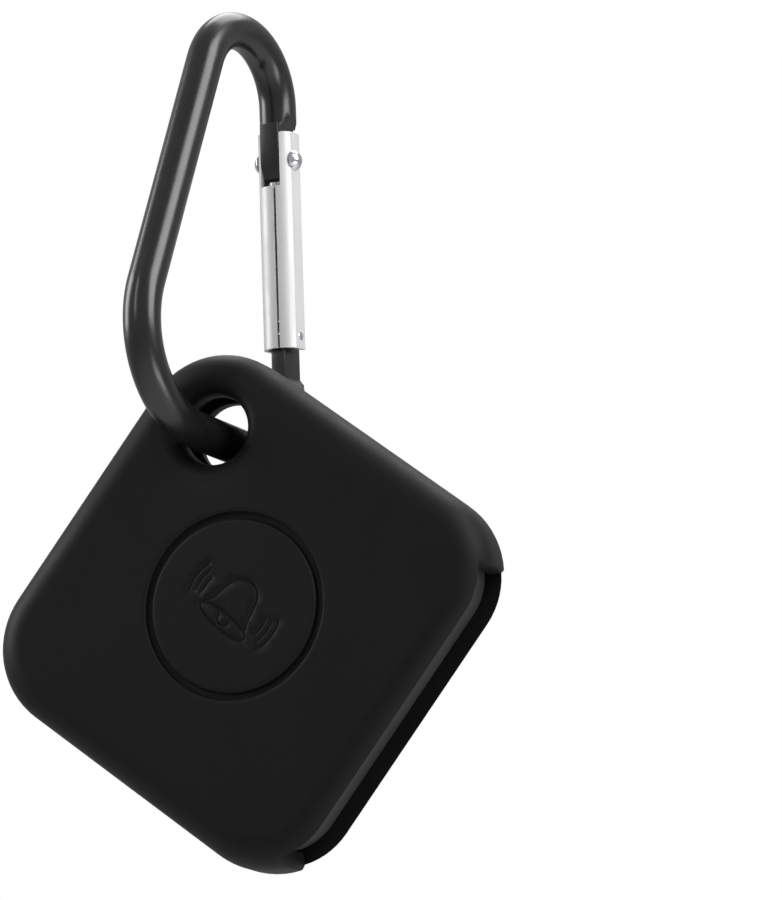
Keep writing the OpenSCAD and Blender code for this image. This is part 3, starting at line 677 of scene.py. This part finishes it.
# %% Strokes of the bell
BELL_TURN = math.radians(-4)
STROKE_HALF, STROKE_DEPTH = 0.2, 0.17
bell_side = [(2.75, -1.6), (2.45, -1.25), (2.15, -0.7), (1.95, 0.0), (1.82, 0.7)]
dome = [(1.7 * math.cos(a), 0.95 + 1.7 * math.sin(a)) for a in (math.pi * k / 24 for k in range(1, 24))]
bell_body = bell_side + dome + [(-x, y) for x, y in reversed(bell_side)]
bell_rim = [(2.8 * math.cos(a), -1.75 + 0.75 * math.sin(a))
            for a in (2 * math.pi * k / 60 for k in range(61))]
clapper = [(0.62 * math.cos(a), -1.55 + 0.62 * math.sin(a)) for a in (-math.pi * k / 14 for k in range(15))]
strokes = [bell_body, bell_rim, clapper]
WAVE_FIRST_R, WAVE_PITCH = 3.45, 0.65
WAVE_HALF_ANGLE, WAVE_WIDENS = 11, 3
for wave in range(3):
    radius, half = WAVE_FIRST_R + WAVE_PITCH * wave, math.radians(WAVE_HALF_ANGLE + WAVE_WIDENS * wave)
    arc = [(radius * math.cos(a), radius * math.sin(a)) for a in (half * (k / 8 - 1) for k in range(17))]
    strokes += [arc, [(-x, -y) for x, y in arc]]
turn_cos, turn_sin = math.cos(BELL_TURN), math.sin(BELL_TURN)
strokes = [[(x * turn_cos - y * turn_sin, x * turn_sin + y * turn_cos) for x, y in stroke]
           for stroke in strokes]
print(len(strokes), "strokes")


# %% Channels along the strokes
def rails_of(stroke, offset):
    """The stroke moved sideways, with one point beside each of its own."""
    rail = []
    for k, (x, y) in enumerate(stroke):
        a, b = stroke[max(k - 1, 0)], stroke[min(k + 1, len(stroke) - 1)]
        run = math.hypot(b[0] - a[0], b[1] - a[1])
        rail.append((x - (b[1] - a[1]) / run * offset, y + (b[0] - a[0]) / run * offset))
    return rail


segments = [(a, b) for stroke in strokes for a, b in zip(stroke, stroke[1:])]


def stroke_distance(x, y):
    best = 9.0
    for (ax, ay), (bx, by) in segments:
        dx, dy = bx - ax, by - ay
        share = min(1, max(0, ((x - ax) * dx + (y - ay) * dy) / (dx * dx + dy * dy)))
        best = min(best, math.hypot(x - ax - share * dx, y - ay - share * dy))
    return best


def pad_height(x, y):
    share = min(1, max(0, (stroke_distance(x, y) - 0.04) / (STROKE_HALF - 0.04))) if x * x + y * y < 36 else 1
    return FACE_Z + crown(x, y) - STROKE_DEPTH * (1 - share * share * (3 - 2 * share))


# %% Pad mesh
PAD_FIELD_R, BOSS_R, PAD_UNDER_Z = 7.6, 6.0, 3.5
pad = Skin()
pad_rings = [pad.ring([(x, y, FACE_Z + crown(x, y) - drop) for x, y, _ in circle((0, 0), radius, RING_STEPS)])
             for radius, drop in ((PAD_FIELD_R, 0), (7.8, 0.01), (7.92, 0.045), (8.01, 0.12), (PAD_R, 0.24))]
pad_rings += [pad.ring(circle((0, 0), radius, RING_STEPS, height)) for radius, height in (
    (PAD_R, PAD_UNDER_Z + 0.05), (PAD_R - 0.05, PAD_UNDER_Z), (BOSS_R, PAD_UNDER_Z), (BOSS_R, POCKET_Z))]
pad.bands(pad_rings)
pad.faces.append(tuple(pad_rings[-1]))
rails = [rails_of(stroke, offset) for stroke in strokes for offset in (-0.21, -0.12, -0.04, 0.04, 0.12, 0.21)]
grid = [(0.7 * (i + 0.5 * (j % 2)), 0.606 * j) for i in range(-12, 12) for j in range(-13, 14)]
grid = [(x, y) for x, y in grid if math.hypot(x, y) < PAD_FIELD_R - 0.3 and stroke_distance(x, y) > 0.35]
pad.field([circle((0, 0), PAD_FIELD_R, RING_STEPS)], grid, pad_height, rails)
make_piece("press_pad_skin", pad.points, pad.faces, case_frame, "pad", "silicone", ["press_pad"], 60)

# %% [markdown]
# ## Carabiner rod
# The body is one aluminium rod bent into a loop and black anodised. Its upper end is pressed to a tongue that
# carries the gate, its lower end to a flat hooked nose. A curve with a round bevel would give the bends but
# not the pressed ends, so the rod is swept in code: a ring of points follows the centreline, and near the
# ends the ring is clamped between two cheeks. The tongue and the nose are cut plates, joined on by a boolean.

# %% Centreline of the rod
SPINE_ANGLE, FOOT_ANGLE = 180 - 25.3, 270 - 6.5
SPINE_LEN, HEEL_R, TOE_R = 24.9, 9.1, 6.0
TONGUE_HALF, BLADE_HALF = 1.0, 0.75
ROD_SIDES = 48


def on_circle(centre, radius, degrees):
    a = math.radians(degrees)
    return (centre[0] + radius * math.cos(a), centre[1] + radius * math.sin(a))


def step_along(point, degrees, length):
    """The point moved along the direction that a bend has after turning to `degrees`."""
    a = math.radians(degrees)
    return (point[0] - length * math.sin(a), point[1] + length * math.cos(a))


top_centre = (-TOP_R, 0.0)
spine_top = on_circle(top_centre, TOP_R, SPINE_ANGLE)
spine_bottom = step_along(spine_top, SPINE_ANGLE, SPINE_LEN)
heel_centre = on_circle(spine_bottom, -HEEL_R, SPINE_ANGLE)
foot_start = on_circle(heel_centre, HEEL_R, FOOT_ANGLE)
foot_cos, foot_sin = math.cos(math.radians(FOOT_ANGLE)), math.sin(math.radians(FOOT_ANGLE))
foot_len = (TOE_R * foot_cos - TOE_R - foot_start[0]) / -foot_sin
foot_end = step_along(foot_start, FOOT_ANGLE, foot_len)
toe_centre = on_circle(foot_end, -TOE_R, FOOT_ANGLE)
toe_end_q = toe_centre[1]

# Each entry is a point of the centreline, the outward direction there, and half the width left by the cheeks
rod_line = [((0, q), 0, half)
            for q, half in ((-1.9, TONGUE_HALF), (-1.45, 1.375), (-1.0, ROD_R), (-0.5, ROD_R))]
rod_line += [(on_circle(top_centre, TOP_R, a), a, ROD_R) for a in (SPINE_ANGLE * k / 44 for k in range(45))]
rod_line += [(step_along(spine_top, SPINE_ANGLE, SPINE_LEN * k / 10), SPINE_ANGLE, ROD_R)
             for k in range(1, 10)]
rod_line += [(on_circle(heel_centre, HEEL_R, a), a, ROD_R)
             for a in (SPINE_ANGLE + (FOOT_ANGLE - SPINE_ANGLE) * k / 36 for k in range(37))]
rod_line += [(step_along(foot_start, FOOT_ANGLE, foot_len * k / 3), FOOT_ANGLE, ROD_R) for k in (1, 2)]
rod_line += [(on_circle(toe_centre, TOE_R, a), a, ROD_R)
             for a in (FOOT_ANGLE + (360 - FOOT_ANGLE) * k / 28 for k in range(29))]
rod_line += [((0, q), 0, half)
             for q, half in ((-27.6, ROD_R), (-27.1, ROD_R), (-26.6, 1.25), (-26.1, BLADE_HALF))]
print("toe ends at q", round(toe_end_q, 2), "- foot is", round(foot_len, 2), "mm long")

# %% Rod, tongue and nose
rod = Skin()
rod_rings = []
for (p0, q0), degrees, half in rod_line:
    a = math.radians(degrees)
    rod_rings.append(rod.ring([(p0 + math.cos(a) * ROD_R * math.cos(f),
                                q0 + math.sin(a) * ROD_R * math.cos(f),
                                max(-half, min(half, ROD_R * math.sin(f))))
                               for f in (2 * math.pi * k / ROD_SIDES for k in range(ROD_SIDES))]))
rod.bands(rod_rings)
rod.faces += [tuple(rod_rings[0]), tuple(rod_rings[-1])]
rod_piece = make_piece("carabiner_rod", rod.points, rod.faces, loop_frame, "carabiner", "anodised_black",
                       ["carabiner_body"], 30)

PIVOT, HUB_R, BORE_R = (-0.15, -5.2), 1.2, 0.8
LATCH, NOTCH_R = (0.1, -22.1), 0.6
tongue_outline = [(1.05, -1.6), (-ROD_R, -1.6), (-ROD_R, -5.1), (-1.15, -6.95), (0.5, -6.3)]
tongue_outline += [on_circle(PIVOT, HUB_R, a) for a in (-50, -40, -30, -20, -10, 0)]
nose_outline = [(-1.25, -26.4), (1.4, -26.4), (1.4, -20.7), (-1.25, -20.7), (-1.25, LATCH[1] + NOTCH_R)]
nose_outline += [on_circle(LATCH, NOTCH_R, a) for a in range(90, -91, -15)] + [(-1.25, LATCH[1] - NOTCH_R)]


def plate(name, flat_outline, half, bevel):
    """A flat plate of the outline, standing across the loop, its edges eased by the bevel."""
    skin = Skin()
    faces = [skin.ring([(x, y, z) for x, y in flat_outline]) for z in (-half, half)]
    skin.bridge(*faces)
    skin.faces += [tuple(faces[0]), tuple(faces[1])]
    return make_piece(name, skin.points, skin.faces, loop_frame, "carabiner", "anodised_black", [], 30,
                      (bevel, lambda p: True) if bevel else None)


def across_loop(name, centre, radius, half):
    """A plain pin across the loop, used as a cutter."""
    skin = Skin()
    faces = [skin.ring(circle(centre, radius, 40, z)) for z in (-half, half)]
    skin.bridge(*faces)
    skin.faces += [tuple(faces[0]), tuple(faces[1])]
    return make_piece(name, skin.points, skin.faces, loop_frame, "carabiner", "anodised_black", [])


def combine(piece, tool, operation):
    """Joins the tool to the piece, or cuts it out, and removes the tool."""
    modifier = piece.modifiers.new(operation, "BOOLEAN")
    modifier.operation, modifier.solver, modifier.object = operation, "EXACT", tool
    settle(piece, 30)
    bpy.data.objects.remove(tool)


combine(rod_piece, plate("tongue", tongue_outline, TONGUE_HALF, 0.07), "UNION")
combine(rod_piece, plate("nose", nose_outline, BLADE_HALF, 0.07), "UNION")
combine(rod_piece, across_loop("bore", PIVOT, BORE_R, 3), "DIFFERENCE")
print("carabiner rod:", len(rod_piece.data.polygons), "faces")

# %% [markdown]
# ## Gate
# The gate is a strip of bright sheet rolled round until its edges almost meet: the seam shows as a dark line
# on the inside, a little to one side of the hinge slit's middle. Its sides are pressed flat where the rivet
# passes, the hinge end is slit for the tongue, and the outside is cut away over the nose. The sheet is laid
# out as a grid round the section and along the gate, cells are left out for the slits, and Solidify gives it
# the thickness of the metal.

# %% Gate sheet
GATE_R, GATE_FLAT, GATE_WALL = 1.95, 1.8, 0.42
GATE_TOP, GATE_BOTTOM, CORNER_R = -2.5, -23.3, 0.6
FLAT_ANGLE = math.degrees(math.asin(GATE_FLAT / GATE_R))
SLIT_HALF, SLIT_BOTTOM = 1.05, -7.7
NOTCH_ANGLE = 180 - math.degrees(math.asin(SLIT_HALF / GATE_R))
LATCH_ANGLE = math.degrees(math.acos(0.95 / GATE_R))
SEAM_ANGLE, SEAM_HALF = 164, math.degrees(math.asin(0.12 / GATE_R))
half_round = [NOTCH_ANGLE, 140, 132, 124, 180 - FLAT_ANGLE, 101, 90, 79, FLAT_ANGLE, LATCH_ANGLE,
              52, 44, 36, 27, 18, 9]
round_gate = [SEAM_ANGLE - SEAM_HALF, 154] + half_round + [0] + [-a for a in reversed(half_round)]
round_gate += [-155, -163, -171, -180, -188, SEAM_ANGLE + SEAM_HALF - 360]
gate_rows = [GATE_BOTTOM, -22.7, -21.4, -20.1, -17.6, -15.1, -12.6, -10.1, SLIT_BOTTOM, -6.4, -5.2, -4.1]


def gate_top_at(p):
    """The hinge end of the side walls, with its corners rounded."""
    over = max(0.0, abs(p) - (GATE_R - CORNER_R))
    return GATE_TOP - CORNER_R + math.sqrt(CORNER_R ** 2 - min(over, CORNER_R) ** 2)


gate = Skin()
gate_rings = []
for row in range(len(gate_rows) + 4):
    points = []
    for a in round_gate:
        p, n = GATE_R * math.cos(math.radians(a)), GATE_R * math.sin(math.radians(a))
        if row < len(gate_rows):
            q = gate_rows[row]
        else:
            q = gate_rows[-1] + (gate_top_at(p) - gate_rows[-1]) * (row - len(gate_rows) + 1) / 4
        points.append((p, q, max(-GATE_FLAT, min(GATE_FLAT, n))))
    gate_rings.append(gate.ring(points))
for row, (low, high) in enumerate(zip(gate_rings, gate_rings[1:])):
    left_out = {k for k, (a, b) in enumerate(zip(round_gate, round_gate[1:]))
                if (row >= 8 and min(abs(a), abs(b)) >= NOTCH_ANGLE - 0.01)
                or (row < 3 and max(abs(a), abs(b)) <= LATCH_ANGLE + 0.01)}
    gate.bridge(low, high, closed=False, skip=left_out)
gate_piece = make_piece("gate_sheet", gate.points, gate.faces, loop_frame, "gate", "bright_aluminium",
                        ["gate"])
sheet = gate_piece.modifiers.new("sheet", "SOLIDIFY")
sheet.thickness, sheet.offset, sheet.use_even_offset = GATE_WALL * MM, -1, True
settle(gate_piece, 18)
# The thickened edges of the slit point inward, so a box makes its sides parallel and clear of the tongue
slit_low, slit_high = SLIT_BOTTOM - 0.02, -1
slit_outline = [(-3, slit_low), (0, slit_low), (0, slit_high), (-3, slit_high)]
combine(gate_piece, plate("slit", slit_outline, SLIT_HALF + 0.01, 0), "DIFFERENCE")
eased = gate_piece.modifiers.new("eased", "BEVEL")
eased.width, eased.segments, eased.limit_method, eased.angle_limit = 0.06 * MM, 2, "ANGLE", math.radians(50)
settle(gate_piece, 18)
print("gate sheet:", len(gate_piece.data.polygons), "faces")

# %% [markdown]
# ## Rivet and pin
# The rivet's heads are pressed to domes with a thin flat rim; the pin across the gate's lower end is peened
# flush. Both are turned shapes, so a profile is spun round their own line across the loop.


# %% Turned pins
def turned(name, centre, profile, steps, replaces):
    """Spins (radius, across) points round a line across the loop and mirrors them to the other side."""
    skin = Skin()
    rings = [skin.ring(circle(centre, radius, steps, -z)) for radius, z in profile]
    rings += [skin.ring(circle(centre, radius, steps, z)) for radius, z in reversed(profile)]
    skin.bands(rings)
    skin.faces += [tuple(rings[0]), tuple(rings[-1])]
    return make_piece(name, skin.points, skin.faces, loop_frame, "gate", "bright_steel", replaces, 40)


head = [(0.08, 2.5), (0.3, 2.46), (0.52, 2.36), (0.72, 2.2), (0.88, 2.02), (0.97, 1.88), (1.0, 1.82),
        (1.0, GATE_FLAT), (0.75, GATE_FLAT - 0.001)]
turned("rivet_turned", PIVOT, head, 40, ["hinge_rivet"])
peened_end = [(0.06, 1.87), (0.25, 1.855), (0.38, 1.82), (0.45, 1.76)]
turned("latch_pin_turned", LATCH, peened_end, 28, ["latch_pin"])
